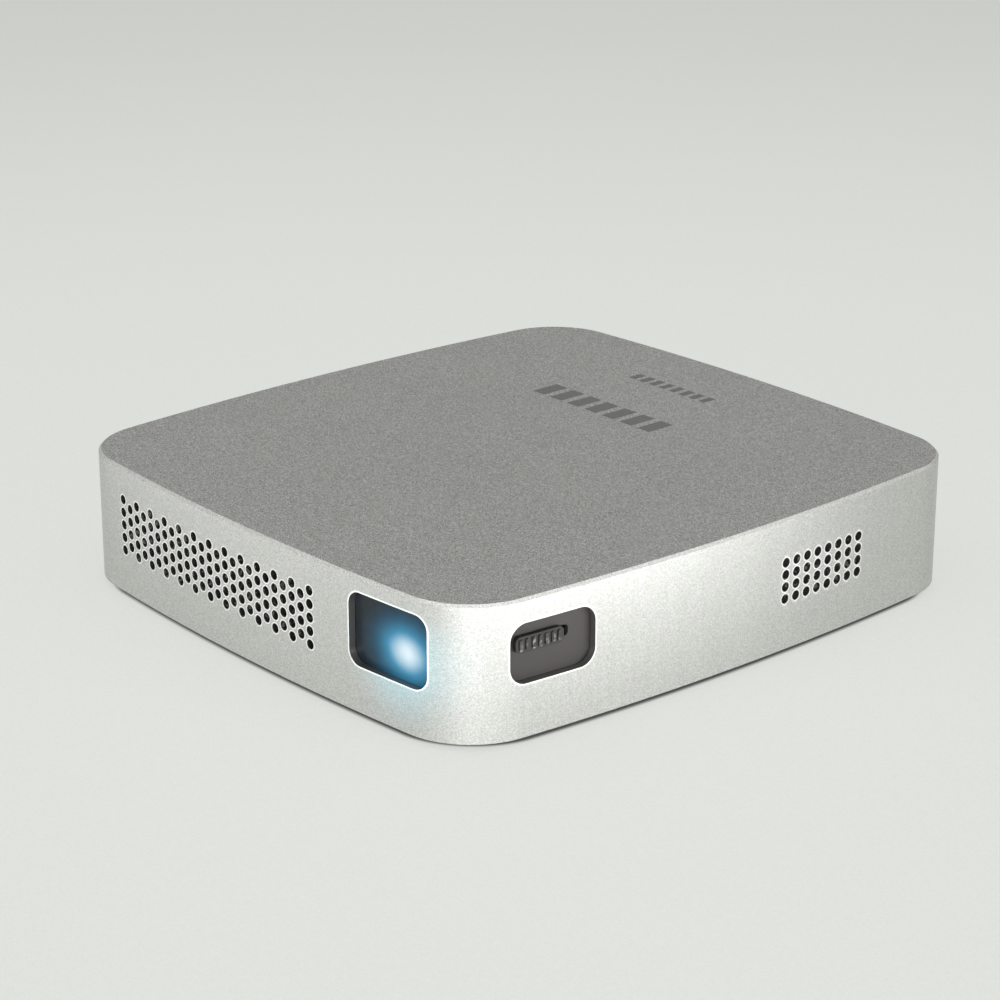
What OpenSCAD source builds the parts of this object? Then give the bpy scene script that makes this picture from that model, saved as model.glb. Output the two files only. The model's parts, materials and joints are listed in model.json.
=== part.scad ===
// Pocket home projector: a low square aluminium box with slightly bowed sides.
// The lens looks out of the front, -Y. A focus slider sits round the corner, on +X.
// Millimetres. Z up, the feet stand on z = 0, X and Y are measured from the plan's centre.

/* [Body] */
// Width across the two bowed sides
body_w = 98.6; // [98:0.1:99]
// Depth from the lens face to the socket face
body_d = 105.6; // [105.2:0.1:106]
// Height from the floor to the flat top
body_h = 21.5; // [21.5:0.1:21.8]
// Gap between the floor and the shell's lower edge
foot_drop = 0.9; // [0.8:0.1:0.9]
// Wall of the shell
wall = 1.2; // [1:0.1:1.2]
// Thickness of the flat top
top_t = 1.3; // [1.1:0.1:1.3]
// Radius of the four upright corners
corner_r = 12; // [11:0.5:12]
// Radius of each bowed side in plan
side_r = 441; // [430:1:450]
// Bright cut along the top edge
edge_cut = 0.4; // [0.3:0.1:0.6]

/* [Grilles] */
// Diameter of every vent hole
vent_d = 1.5; // [1:0.1:1.5]
// Columns of holes in the front grille's full rows
grille_columns = 13; // [5:1:13]
// Rows of holes in the front grille's full columns
grille_rows = 5; // [2:1:5]
// Distance between the front grille's full columns
grille_pitch = 4; // [3.4:0.1:4]
// Columns of holes in each side grid
grid_columns = 8; // [2:1:8]
// Rows of holes in each side grid
grid_rows = 4; // [1:1:4]

/* [Lens] */
// Distance of the lens axis from the middle plane
lens_x = 31.9; // [31.6:0.1:32]
// Height of the lens axis
lens_z = 11.2; // [11.2:0.1:11.3]
// Width of the lens window
window_w = 15.4; // [14:0.1:15.4]
// Height of the lens window
window_h = 11.1; // [10:0.1:11.1]
// Outer radius of the sliding barrel
barrel_r = 6; // [5.9:0.1:6]

/* [Focus] */
// Length of the control window
control_w = 14.6; // [14:0.1:14.6]
// Height of the control window
control_h = 9; // [8.4:0.1:9]
// Travel of the thumb piece towards the back
focus_travel = 4; // [2:0.1:4]

/* [Hidden] */
$fn = 48;

// plan outline
half_w = body_w / 2;
half_d = body_d / 2;
side_c = side_r - half_w;
end_c = side_r - half_d;
slope = side_c / end_c;
rise = (side_c * side_c - end_c * end_c) / (2 * end_c);
reach = side_r - corner_r;
qa = 1 + slope * slope;
qb = 2 * (side_c + slope * rise);
qc = side_c * side_c + rise * rise - reach * reach;
corner_x = (-qb + sqrt(qb * qb - 4 * qa * qc)) / (2 * qa);
corner_y = slope * corner_x + rise;
shell_z = foot_drop;
ceiling_z = body_h - top_t;
cover_z = shell_z + 0.2;
cover_t = 1.5;
cover_top = cover_z + cover_t;
cover_gap = 0.25;
corner_lap = 0.01;
eps = 0.01;

// side grids: first hole and distances
grid_y = 9.15;
grid_z = 8.93;
grid_pitch_y = 2.29;
grid_pitch_z = 1.9;

// lens window, control window and slider
window_z = 13.5;
window_corner = 2.2;
pane_depth = 1.26;
pane_t = 0.8;
hood_t = 0.6;
control_y = -35;
control_z = 13.4;
control_corner = 2.6;
panel_depth = 1.35;
panel_t = 0.95;
thumb_v = -2;
thumb_z = 14.5;
thumb_w = 8.2;
thumb_h = 2.4;
front_travel = 0.6;
side_a = asin(control_y / side_r);
side_out = [cos(side_a), sin(side_a)];
side_along = [-sin(side_a), cos(side_a)];
side_at = side_r * side_out - [side_c, 0];
peg_u = -5.7;
peg_r = 0.7;
peg_at = side_at + peg_u * side_out + thumb_v * side_along;
peg_mid = peg_at + (focus_travel - front_travel) / 2 * side_along;

// focus lever and barrel
pivot_x = 21.6;
pivot_y = peg_mid[1];
lever_a = atan2(peg_at[1] - pivot_y, peg_at[0] - pivot_x);
lever_long = peg_at[0] - pivot_x;
lever_short = lens_x - pivot_x;
lever_z = 18.8;
lever_t = 0.7;
barrel_peg_y = pivot_y + lever_short * tan(lever_a);
barrel_front = -47.4;
barrel_back = -27;
mount_r = 7.3;
mount_front = -42.4;
mount_back = -22;

// light engine
engine_x0 = 16;
engine_x1 = 46;
engine_y0 = -22;
engine_y1 = 4;
engine_z0 = 3.4;
engine_z1 = 17.6;
engine_wall = 1.2;
engine_post = 1.9;
light_y = -9;
mix_x = 22.2;
ear_at = [[19.2, -24.8], [43, -24.8], [22, 7.2], [40.5, 7.2]];
ear_r = 2.4;

// cooling
fin_x0 = -34;
fin_x1 = 6;
fin_y0 = -48.9;
fin_y1 = -38;
fin_pitch = 2;
fin_t = 0.5;
fin_top = 17;
pipe_r = 2;
pipe_y = -43;
pipe_x = 12;
pipe_z = 12;
pipe_bend = 6;
fan_x = -21;
fan_y = -18;
fan_z0 = 3.4;
fan_z1 = 10.6;
fan_top = 11.4;
fan_r = 17.5;
fan_wall = 1;
fan_open_y = -36;
fan_open_x = -10;
fan_lug = [[-37.6, -2.6], [-4.4, -2.6], [-7, -33.6]];
lug_r = 2.2;

// boards, battery and sockets
board_z = 4.4;
board_top = 5.4;
board_post = [[-40, 9.5], [10, 9.5], [-40, 33], [40, 33.5], [10, 33]];
tray_z = 11.5;
tray_top = 12.4;
cell_t = 6;
driver_z = 13;
driver_top = 14;
driver_post = [[-41, -32, cover_top], [7.2, -32, cover_top], [-41, 1, cover_top],
    [7.2, -0.4, cover_z + 6.9]];
speaker_y = 17.3;
speaker_z = 11.9;
hdmi_x = -17;
usb_x = 2;
card_x = 18;
audio_x = 31;
audio_z = 8.6;
audio_r = 1.8;
dc_x = -32;
dc_z = 9;
ir_x = -32;
ir_z = 16.2;
key_y = -12;
key_z = 11;
key_w = 9;
key_h = 4;
boss_at = [corner_x + 5.6, corner_y + 5.6];
boss_r = 2.2;
boss_z = 3.6;
foot_at = [36, 39];
foot_r = 4.5;
tripod_at = [5, 0];
tripod_r = 2.55;
screw_r = 0.78;
hole_r = 1;

function unit(v) = v / norm(v);

// ---- outline of the body -------------------------------------------------

module disc(r, z0, z1, bevel) {
    rotate_extrude($fn = 256)
        polygon([[0, z0], [r, z0], [r, z1 - bevel], [r - bevel, z1], [0, z1]]);
}

// a slab with four bowed sides and round corners, its top edge cut at 45 degrees
module slab(z0, z1, inset = 0, bevel = 0) {
    c = [corner_x, corner_y];
    side_dir = unit([corner_x + side_c, corner_y]);
    end_dir = unit([corner_x, corner_y + end_c]);
    far = 40;
    difference() {
        intersection() {
            translate([-side_c, 0, 0]) disc(side_r - inset, z0, z1, bevel);
            translate([side_c, 0, 0]) disc(side_r - inset, z0, z1, bevel);
            translate([0, end_c, 0]) disc(side_r - inset, z0, z1, bevel);
            translate([0, -end_c, 0]) disc(side_r - inset, z0, z1, bevel);
        }
        for (sx = [0, 1], sy = [0, 1])
            mirror([sx, 0, 0]) mirror([0, sy, 0])
                translate([0, 0, z0 - 1]) linear_extrude(z1 - z0 + 2)
                    polygon([c, c + far * side_dir, c + far * (side_dir + end_dir), c + far * end_dir]);
    }
    for (sx = [-1, 1], sy = [-1, 1])
        translate([sx * corner_x, sy * corner_y, 0]) disc(corner_r - inset + corner_lap, z0, z1, bevel);
}

// places a child on a wall: local x points out, local y runs along the wall, z stays up
module on_right(y) {
    translate([-side_c, 0, 0]) rotate([0, 0, asin(y / side_r)]) translate([side_r, 0, 0]) children();
}

module on_left(y) {
    mirror([1, 0, 0]) on_right(y) children();
}

module on_front(x) {
    translate([0, end_c, 0]) rotate([0, 0, asin(x / side_r) - 90]) translate([side_r, 0, 0]) children();
}

module on_back(x) {
    translate([0, -end_c, 0]) rotate([0, 0, 90 - asin(x / side_r)]) translate([side_r, 0, 0]) children();
}

// ---- small shapes --------------------------------------------------------

// box from one corner to the other
module box(a, b) {
    translate(a) cube(b - a);
}

// cylinder along local x, from x0 to x1
module peg_x(r, x0, x1) {
    translate([x0, 0, 0]) rotate([0, 90, 0]) cylinder(r = r, h = x1 - x0);
}

// cylinder along y, from y0 to y1
module peg_y(r, y0, y1) {
    translate([0, y1, 0]) rotate([90, 0, 0]) cylinder(r = r, h = y1 - y0);
}

// plate standing on its edge: rounded rectangle in local y and z, from x0 to x1
module pane(w, h, r, x0, x1) {
    translate([x0, -w / 2, -h / 2 + r]) cube([x1 - x0, w, h - 2 * r]);
    translate([x0, -w / 2 + r, -h / 2]) cube([x1 - x0, w - 2 * r, h]);
    for (sy = [-1, 1], sz = [-1, 1])
        translate([0, sy * (w / 2 - r), sz * (h / 2 - r)]) peg_x(r, x0, x1);
}

// outline of a rounded rectangle, each corner in n steps
function round_rect(w, h, r, n) = [
    for (q = [0 : 3], i = [0 : n])
        let (a = 90 * (q + i / n), sx = q == 0 || q == 3 ? 1 : -1, sy = q < 2 ? 1 : -1)
            [sx * (w / 2 - r) + r * cos(a), sy * (h / 2 - r) + r * sin(a)]
];

// the same plate as pane, drawn as one outline
module outline_pane(w, h, r, x0, x1) {
    translate([x0, 0, 0]) rotate([90, 0, 90]) linear_extrude(x1 - x0) polygon(round_rect(w, h, r, 14));
}

// flat plate with round corners, centred on x and y
module plate(w, d, r, z0, z1) {
    translate([-w / 2, -d / 2 + r, z0]) cube([w, d - 2 * r, z1 - z0]);
    translate([-w / 2 + r, -d / 2, z0]) cube([w - 2 * r, d, z1 - z0]);
    for (sx = [-1, 1], sy = [-1, 1])
        translate([sx * (w / 2 - r), sy * (d / 2 - r), z0]) cylinder(r = r, h = z1 - z0);
}

// slot along x, centred
module slot(w, d, z0, z1) {
    translate([-(w - d) / 2, -d / 2, z0]) cube([w - d, d, z1 - z0]);
    for (sx = [-1, 1]) translate([sx * (w - d) / 2, 0, z0]) cylinder(d = d, h = z1 - z0);
}

// screw with a pan head, its head upwards, seat at z = 0
module screw(r, shank, head_r, head_t) {
    translate([0, 0, -shank]) cylinder(r = r, h = shank);
    difference() {
        cylinder(r = head_r, h = head_t);
        for (a = [0, 90])
            rotate([0, 0, a]) translate([-head_r * 0.6, -0.16, head_t - 0.35]) cube([head_r * 1.2, 0.32, 1]);
    }
}

// convex lens along z from 0, rim r, rim height t, bulge b upwards
module dome_lens(r, t, b) {
    ball = (r * r + b * b) / (2 * b);
    intersection() {
        cylinder(r = r, h = t + b + 1);
        translate([0, 0, t + b - ball]) sphere(r = ball, $fn = 96);
        translate([-r, -r, 0]) cube([2 * r, 2 * r, t + b + 1]);
    }
}

// soft lead through a list of points
module lead(points, r) {
    for (i = [0 : len(points) - 2])
        hull() {
            translate(points[i]) sphere(r = r, $fn = 8);
            translate(points[i + 1]) sphere(r = r, $fn = 8);
        }
}

// ---- shell, cover, feet --------------------------------------------------

module vents(first, pitch, count, rows, row_z, row_pitch) {
    for (i = [0 : count - 1], j = [0 : rows - 1])
        on_front(first + i * pitch)
            translate([0, 0, row_z + j * row_pitch]) rotate([0, 90, 0])
                cylinder(d = vent_d, h = 6, center = true, $fn = 24);
}

module side_vents() {
    for (i = [0 : grid_columns - 1], j = [0 : grid_rows - 1])
        on_right(grid_y + i * grid_pitch_y)
            translate([0, 0, grid_z + j * grid_pitch_z]) rotate([0, 90, 0])
                cylinder(d = vent_d, h = 6, center = true, $fn = 24);
}

module shell_cuts() {
    vents(-32.3, grille_pitch, grille_columns, grille_rows, 8, 2.06);
    vents(-32.3 + grille_pitch / 2, grille_pitch, grille_columns - 1, grille_rows - 1, 9.03, 2.06);
    on_front(lens_x) translate([0, 0, window_z]) pane(window_w, window_h, window_corner, -4, 4);
    on_right(control_y) translate([0, 0, control_z])
        outline_pane(control_w, control_h, control_corner, -2.6, 3);
    side_vents();
    mirror([1, 0, 0]) side_vents();
    on_left(key_y) translate([0, 0, key_z]) pane(key_w + 0.5, key_h + 0.5, 2.2, -4, 4);
    on_back(hdmi_x) translate([0, 0, board_top + 2.8]) pane(15.8, 6, 0.8, -4, 4);
    on_back(usb_x) translate([0, 0, board_top + 2.85]) pane(13.9, 6.1, 0.5, -4, 4);
    on_back(card_x) translate([0, 0, board_top + 0.95]) pane(12.4, 2, 0.6, -4, 4);
    on_back(audio_x) translate([0, 0, audio_z]) peg_x(3, -4, 4);
    on_back(dc_x) translate([0, 0, dc_z]) peg_x(3.1, -4, 4);
    on_back(ir_x) translate([0, 0, ir_z]) peg_x(2, -4, 4);
}

module top_shell() color([0.72, 0.73, 0.71]) {
    difference() {
        slab(shell_z, body_h, 0, edge_cut);
        slab(shell_z - 1, ceiling_z, wall, 0);
        shell_cuts();
    }
    for (sx = [-1, 1], sy = [-1, 1])
        translate([sx * boss_at[0], sy * boss_at[1], 0]) difference() {
            translate([0, 0, boss_z]) cylinder(r = boss_r, h = ceiling_z - boss_z + 0.5);
            translate([0, 0, boss_z - 1]) cylinder(r = 0.8, h = 8);
        }
}

module cover_post(at, top, r = 2, bore = 0.8) {
    translate([at[0], at[1], cover_top - 0.2]) difference() {
        cylinder(r = r, h = top - cover_top + 0.2);
        translate([0, 0, 0.4]) cylinder(r = bore, h = 20);
    }
}

module bottom_cover() color([0.1, 0.1, 0.11]) {
    difference() {
        union() {
            slab(cover_z, cover_top, wall + cover_gap, 0);
            for (sx = [-1, 1], sy = [-1, 1])
                translate([sx * boss_at[0], sy * boss_at[1], cover_z])
                    cylinder(r = 2.5, h = boss_z - cover_z);
            translate([tripod_at[0], tripod_at[1], cover_z]) cylinder(r = 5.4, h = 6.4);
        }
        for (sx = [-1, 1], sy = [-1, 1]) {
            translate([sx * boss_at[0], sy * boss_at[1], cover_z - 1]) cylinder(r = hole_r, h = 8);
            translate([sx * boss_at[0], sy * boss_at[1], cover_z - 1]) cylinder(r = 1.85, h = 2.1);
            translate([sx * foot_at[0], sy * foot_at[1], cover_z - 1]) cylinder(r = foot_r + 0.05, h = 1.5);
        }
        translate([tripod_at[0], tripod_at[1], cover_z - 1]) cylinder(r = 4.4, h = 9);
        for (i = [-3 : 3])
            translate([fan_x + i * 3.2, fan_y, 0])
                rotate([0, 0, 90]) slot(2 * sqrt(121 - pow(i * 3.2, 2)), 1.5, cover_z - 1, cover_top + 1);
        translate([10, 24, 0]) plate(44, 22, 1.5, cover_z - 1, cover_z + 0.25);
    }
    for (at = board_post) cover_post(at, board_z);
    for (at = ear_at) cover_post(at, engine_z0, 2.2);
    for (at = fan_lug) cover_post(at, fan_z0);
}

module base_screws() color([0.16, 0.16, 0.17])
    for (sx = [-1, 1], sy = [-1, 1])
        translate([sx * boss_at[0], sy * boss_at[1], cover_z + 1.1])
            mirror([0, 0, 1]) screw(screw_r, 7, 1.7, 0.9);

module rubber_feet() color([0.07, 0.07, 0.07])
    for (sx = [-1, 1], sy = [-1, 1])
        translate([sx * foot_at[0], sy * foot_at[1], 0]) rotate_extrude($fn = 64)
            polygon([[0, 0], [foot_r - 0.4, 0], [foot_r, 0.4], [foot_r, cover_z + 0.5], [0, cover_z + 0.5]]);

module tripod_insert() color([0.78, 0.64, 0.32])
    translate([tripod_at[0], tripod_at[1], 0]) difference() {
        union() {
            translate([0, 0, cover_z + 0.1]) cylinder(r = 4.38, h = 6.3);
            translate([0, 0, cover_z + 6.4]) cylinder(r = 5, h = 0.5);
        }
        translate([0, 0, cover_z - 1]) cylinder(r = tripod_r, h = 7);
        translate([0, 0, cover_z + 0.1 - eps]) cylinder(r1 = tripod_r + 0.5, r2 = tripod_r, h = 0.5);
    }

module rating_label() color([0.75, 0.76, 0.77])
    translate([10, 24, 0]) plate(43.6, 21.6, 1.4, cover_z + 0.12, cover_z + 0.24);

// ---- lens, window, focus drive -------------------------------------------

// strip of the wall's own curve behind the lens window, from one depth to another
module front_strip(depth_0, depth_1) {
    intersection() {
        difference() {
            slab(6.6, 19.8, depth_0, 0);
            slab(6, 20, depth_1, 0);
        }
        on_front(lens_x) box([-8, -8.9, 6], [3, 8.3, 20]);
    }
}

module lens_window() color([0.1, 0.14, 0.18, 0.5])
    front_strip(pane_depth, pane_depth + pane_t);

module lens_hood() color([0.05, 0.05, 0.06])
    difference() {
        front_strip(pane_depth + pane_t + 0.05, pane_depth + pane_t + hood_t);
        on_front(lens_x) translate([0, 0, lens_z]) peg_x(5.6, -6, 2);
    }

module lens_mount() color([0.12, 0.12, 0.13])
    difference() {
        union() {
            translate([lens_x, 0, lens_z]) peg_y(mount_r, mount_front, mount_back);
            box([lens_x - 7.6, mount_back - 1.4, 4], [lens_x + 7.6, mount_back, 18.4]);
            translate([pivot_x, pivot_y, cover_top]) cylinder(r = 2.6, h = lever_z - 0.3 - cover_top);
            box([pivot_x, pivot_y - 1.2, 8], [lens_x - barrel_r, pivot_y + 1.2, 14.4]);
            box([lens_x - 4, mount_front, cover_top], [lens_x + 4, mount_front + 3, lens_z - barrel_r]);
        }
        translate([lens_x, 0, lens_z]) peg_y(barrel_r + 0.05, mount_front - 1, mount_back + 1);
        translate([pivot_x, pivot_y, 12]) cylinder(r = 1.02, h = 10);
        translate([lens_x, barrel_peg_y + 0.9, 0]) rotate([0, 0, 90]) slot(5.2, 2, lens_z, 20);
        for (sx = [-1, 1], sz = [-1, 1])
            translate([lens_x + sx * 6.4, 0, lens_z + sz * 6]) peg_y(0.6, mount_back - 2, mount_back + 1);
    }

module focus_barrel() color([0.09, 0.09, 0.1]) {
    translate([lens_x, 0, lens_z]) difference() {
        peg_y(barrel_r, barrel_front, barrel_back);
        peg_y(4, barrel_front - 1, barrel_back + 1);
        peg_y(5.2, barrel_front - 1, barrel_front + 3.4);
        peg_y(4.8, barrel_back - 3, barrel_back + 1);
    }
    translate([lens_x, barrel_peg_y, lens_z + barrel_r - 1])
        cylinder(r = peg_r, h = 19.8 - lens_z - barrel_r + 1);
}

module front_lens() color([0.55, 0.7, 0.85, 0.5])
    translate([lens_x, barrel_front + 3.4, lens_z]) rotate([90, 0, 0]) dome_lens(5.18, 2.2, 1.1);

module rear_lens() color([0.55, 0.7, 0.85, 0.5])
    translate([lens_x, barrel_back - 3, lens_z]) rotate([-90, 0, 0]) dome_lens(4.78, 1.4, 0.9);

module focus_panel() color([0.12, 0.12, 0.12]) {
    difference() {
        intersection() {
            difference() {
                slab(7.6, 19.4, panel_depth, 0);
                slab(7, 20, panel_depth + panel_t, 0);
            }
            on_right(control_y) box([-6, -8.3, 7], [2, 9, 20]);
        }
        on_right(control_y) translate([0, thumb_v + 1.7, thumb_z]) pane(7.5, 1.7, 0.6, -4, 2);
    }
    on_right(control_y) for (z = [10.3, 17.7])
        box([-4.7, -6.6, z], [-panel_depth - panel_t + 0.2, 8.4, z + 0.9]);
}

module focus_slider() color([0.2, 0.2, 0.2])
    on_right(control_y) translate([0, thumb_v, thumb_z]) {
        pane(thumb_w, thumb_h, 0.8, -1.05, -0.5);
        for (i = [-3 : 3]) translate([0, i * 1.1, 0]) pane(0.55, 1.7, 0.2, -0.6, -0.25);
        box([-3.5, -1.3, -0.6], [-1, 1.3, 0.6]);
        box([-4.4, -4, -3], [-3, 4, 3]);
        box([peg_u - 1, -1.4, 1.4], [-4.3, 1.4, 3]);
        translate([peg_u, 0, 1.5]) cylinder(r = peg_r, h = 19.8 - thumb_z - 1.5);
    }

module focus_lever() color([0.7, 0.71, 0.72])
    translate([pivot_x, pivot_y, lever_z]) rotate([0, 0, lever_a]) difference() {
        union() {
            cylinder(r = 2.3, h = lever_t);
            translate([0, -1.7, 0]) cube([lever_long + 0.3, 3.4, lever_t]);
            translate([lever_long + 0.3, 0, 0]) cylinder(r = 1.7, h = lever_t);
        }
        translate([0, 0, -1]) cylinder(r = 1.05, h = 3);
        translate([lever_short / cos(lever_a), 0, 0]) slot(2.3, 1.8, -1, 3);
        translate([lever_long / cos(lever_a) - 0.1, 0, 0]) slot(2.9, 1.8, -1, 3);
    }

module lever_pivot() color([0.8, 0.8, 0.8])
    translate([pivot_x, pivot_y, 0]) {
        translate([0, 0, 13]) cylinder(r = 1, h = 7);
        difference() {
            translate([0, 0, lever_z + lever_t + 0.1]) cylinder(r = 1.9, h = 0.4);
            translate([-1.2, -0.2, lever_z + lever_t + 0.35]) cube([2.4, 0.4, 1]);
        }
    }

// ---- light engine --------------------------------------------------------

// places a child at the four corner posts of the engine
module at_engine_posts() {
    for (x = [engine_x0 + engine_post, engine_x1 - engine_post])
        for (y = [engine_y0 + engine_post, engine_y1 - engine_post])
            translate([x, y, 0]) children();
}

module engine_housing() color([0.16, 0.16, 0.17]) {
    difference() {
        union() {
            difference() {
                box([engine_x0, engine_y0, engine_z0], [engine_x1, engine_y1, engine_z1]);
                box([engine_x0 + engine_wall, engine_y0 + engine_wall, engine_z0 + engine_wall],
                    [engine_x1 - engine_wall, engine_y1 - engine_wall, engine_z1 + 1]);
            }
            at_engine_posts() translate([0, 0, engine_z0 + 1])
                cylinder(r = 1.4, h = engine_z1 - engine_z0 - 1);
        }
        at_engine_posts() translate([0, 0, engine_z1 - 6]) cylinder(r = 0.8, h = 7);
        translate([lens_x, 0, lens_z]) peg_y(5, engine_y0 - 1, engine_y0 + 2);
        box([engine_x0 - 1, light_y - 4, 7], [engine_x0 + 2, light_y + 4, 15.4]);
        box([mix_x - 4, engine_y1 - 2, 7], [mix_x + 4, engine_y1 + 1, 15.4]);
        box([lens_x - 5, engine_y1 - 2, 7.6], [lens_x + 5, engine_y1 + 1, 14.8]);
    }
    floor_z = engine_z0 + 1;
    box([lens_x - 3.5, light_y - 3.5, floor_z], [lens_x + 3.5, light_y + 3.5, lens_z - 4.6]);
    translate([mix_x, light_y, 0]) rotate([0, 0, 45]) box([-3, -1, floor_z], [3, 1, lens_z - 4.6]);
    box([25.6, light_y - 1.5, floor_z], [26.4, light_y + 1.5, lens_z - 4]);
    box([17.4, light_y - 1.5, floor_z], [18.2, light_y + 1.5, lens_z - 3]);
    box([mix_x - 1.5, 1.4, floor_z], [mix_x + 1.5, 2.6, lens_z - 2.7]);
    for (at = ear_at) difference() {
        union() {
            translate([at[0], at[1], engine_z0]) cylinder(r = ear_r, h = 1.2);
            side = at[1] < 0 ? engine_y0 + 0.5 : engine_y1 - 0.5;
            box([at[0] - ear_r, min(at[1], side), engine_z0],
                [at[0] + ear_r, max(at[1], side), engine_z0 + 1.2]);
        }
        translate([at[0], at[1], engine_z0 - 1]) cylinder(r = hole_r, h = 4);
    }
}

module engine_lid() color([0.62, 0.63, 0.64])
    difference() {
        union() {
            box([engine_x0, engine_y0, engine_z1], [engine_x1, engine_y1, engine_z1 + 0.8]);
            box([engine_x0 + 6, engine_y0 + 6, engine_z1], [engine_x1 - 6, engine_y1 - 6, engine_z1 + 1.1]);
        }
        at_engine_posts() translate([0, 0, engine_z1 - 1]) cylinder(r = hole_r, h = 4);
    }

module engine_screws() color([0.7, 0.7, 0.72]) {
    for (at = ear_at) translate([at[0], at[1], engine_z0 + 1.2]) screw(screw_r, 1.7, 1.7, 0.8);
    at_engine_posts() translate([0, 0, engine_z1 + 0.8]) screw(screw_r, 4, 1.7, 0.8);
}

module prism_pair() color([0.8, 0.9, 1, 0.4])
    translate([lens_x, light_y, lens_z]) for (turn = [0, 180])
        rotate([0, 0, turn]) translate([0, 0, -4.6]) linear_extrude(9.2)
            polygon([[-5, -4.7], [4.7, 5], [-5, 5]]);

module dichroic_mirror() color([0.6, 0.5, 0.85, 0.6])
    translate([mix_x, light_y, lens_z]) rotate([0, 0, 45]) box([-4, -0.35, -4.6], [4, 0.35, 4.6]);

module relay_lens() color([0.75, 0.85, 0.95, 0.5])
    translate([26.2, light_y, lens_z]) rotate([0, -90, 0]) translate([0, 0, -0.2]) dome_lens(4, 0.6, 0.6);

module collimators() color([0.75, 0.85, 0.95, 0.5]) {
    translate([17.4, light_y, lens_z]) rotate([0, 90, 0]) dome_lens(3, 0.8, 0.9);
    translate([mix_x, 2.6, lens_z]) rotate([90, 0, 0]) dome_lens(2.7, 1.2, 1);
}

module led_boards() color([0.85, 0.86, 0.84]) {
    difference() {
        box([15, light_y - 6.5, 5], [engine_x0, light_y + 6.5, 17]);
        for (s = [-1, 1]) translate([0, light_y + s * 5.2, lens_z]) peg_x(0.8, 14, 17);
    }
    difference() {
        box([17.2, engine_y1, 5.2], [27.6, engine_y1 + 1, 17]);
        for (s = [-1, 1]) translate([mix_x, 0, lens_z + s * 4.9]) peg_y(0.6, 3, 6);
    }
}

module led_emitters() color([0.95, 0.85, 0.4]) {
    for (s = [-1, 1]) translate([engine_x0, light_y + s * 1.7, lens_z]) {
        box([0, -1.4, -1.5], [0.5, 1.4, 1.5]);
        box([0.5, -0.9, -0.9], [0.8, 0.9, 0.9]);
    }
    translate([mix_x, engine_y1, lens_z]) {
        box([-1.6, -0.5, -1.6], [1.6, 0, 1.6]);
        box([-1, -0.8, -1], [1, -0.5, 1]);
    }
}

module mirror_chip() color([0.35, 0.34, 0.4]) {
    difference() {
        box([lens_x - 4.6, engine_y1 - 1.6, 8], [lens_x + 4.6, engine_y1, 14.4]);
        box([lens_x - 3.3, engine_y1 - 2, 9.4], [lens_x + 3.3, engine_y1 - 1.2, 13]);
    }
}

module chip_board() color([0.08, 0.3, 0.16])
    difference() {
        box([28.2, engine_y1, 5], [45, engine_y1 + 1, 17]);
        for (z = [6.4, 15.6]) translate([43.4, 0, z]) peg_y(0.7, 3, 7);
        translate([29.8, 0, 15.6]) peg_y(0.7, 3, 7);
    }

module chip_flex() color([0.72, 0.42, 0.12]) {
    box([32.4, engine_y1 + 1, 6], [38, engine_y1 + 1.2, 9]);
    box([32.4, engine_y1 + 1, 8.8], [38, 12, 9]);
    box([32.4, 11.8, 7.2], [38, 12, 9]);
    box([32.4, 11.8, 7.2], [38, 32, 7.4]);
    box([32.4, 31.8, board_top], [38, 32, 7.4]);
    box([32.4, 31.8, board_top], [38, 33.6, board_top + 0.2]);
}

// ---- cooling -------------------------------------------------------------

module heat_spreaders() color([0.85, 0.5, 0.32]) {
    box([pipe_x + pipe_r + 0.05, light_y - 6.5, 5], [15, light_y + 6.5, 17]);
    difference() {
        union() {
            box([9.5, engine_y1 + 1, 8.5], [27.6, engine_y1 + 1.8, 16]);
            box([9.5, -1, 9.2], [pipe_x + pipe_r + 0.6, engine_y1 + 1.2, 14.8]);
        }
        translate([pipe_x, 0, pipe_z]) peg_y(pipe_r + 0.02, -3, 4);
        for (s = [-1, 1]) translate([mix_x, 0, lens_z + s * 4.9]) peg_y(0.6, 3, 7);
    }
}

module heat_pipe() color([0.8, 0.45, 0.28]) {
    translate([0, pipe_y, pipe_z]) peg_x(pipe_r, fin_x0 - 1, pipe_x - pipe_bend);
    translate([pipe_x - pipe_bend, pipe_y + pipe_bend, pipe_z]) rotate([0, 0, -90])
        rotate_extrude(angle = 90, $fn = 64) translate([pipe_bend, 0]) circle(r = pipe_r, $fn = 32);
    translate([pipe_x, 0, pipe_z]) peg_y(pipe_r, pipe_y + pipe_bend, 3.8);
}

module heat_sink() color([0.66, 0.67, 0.68])
    difference() {
        union() {
            for (x = [fin_x0 : fin_pitch : fin_x1 - fin_t])
                box([x, fin_y0, 3.4], [x + fin_t, fin_y1, fin_top + 0.1]);
            box([fin_x0, fin_y0, fin_top], [fin_x1 - fin_pitch + fin_t, fin_y1, fin_top + 1.2]);
        }
        translate([0, pipe_y, pipe_z]) peg_x(pipe_r + 0.02, fin_x0 - 1, fin_x1 + 1);
    }

module fan_shape(r, y0, x1, z0, z1) {
    translate([fan_x, fan_y, z0]) cylinder(r = r, h = z1 - z0, $fn = 96);
    box([fan_x - r, y0, z0], [x1, fan_y, z1]);
}

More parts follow.
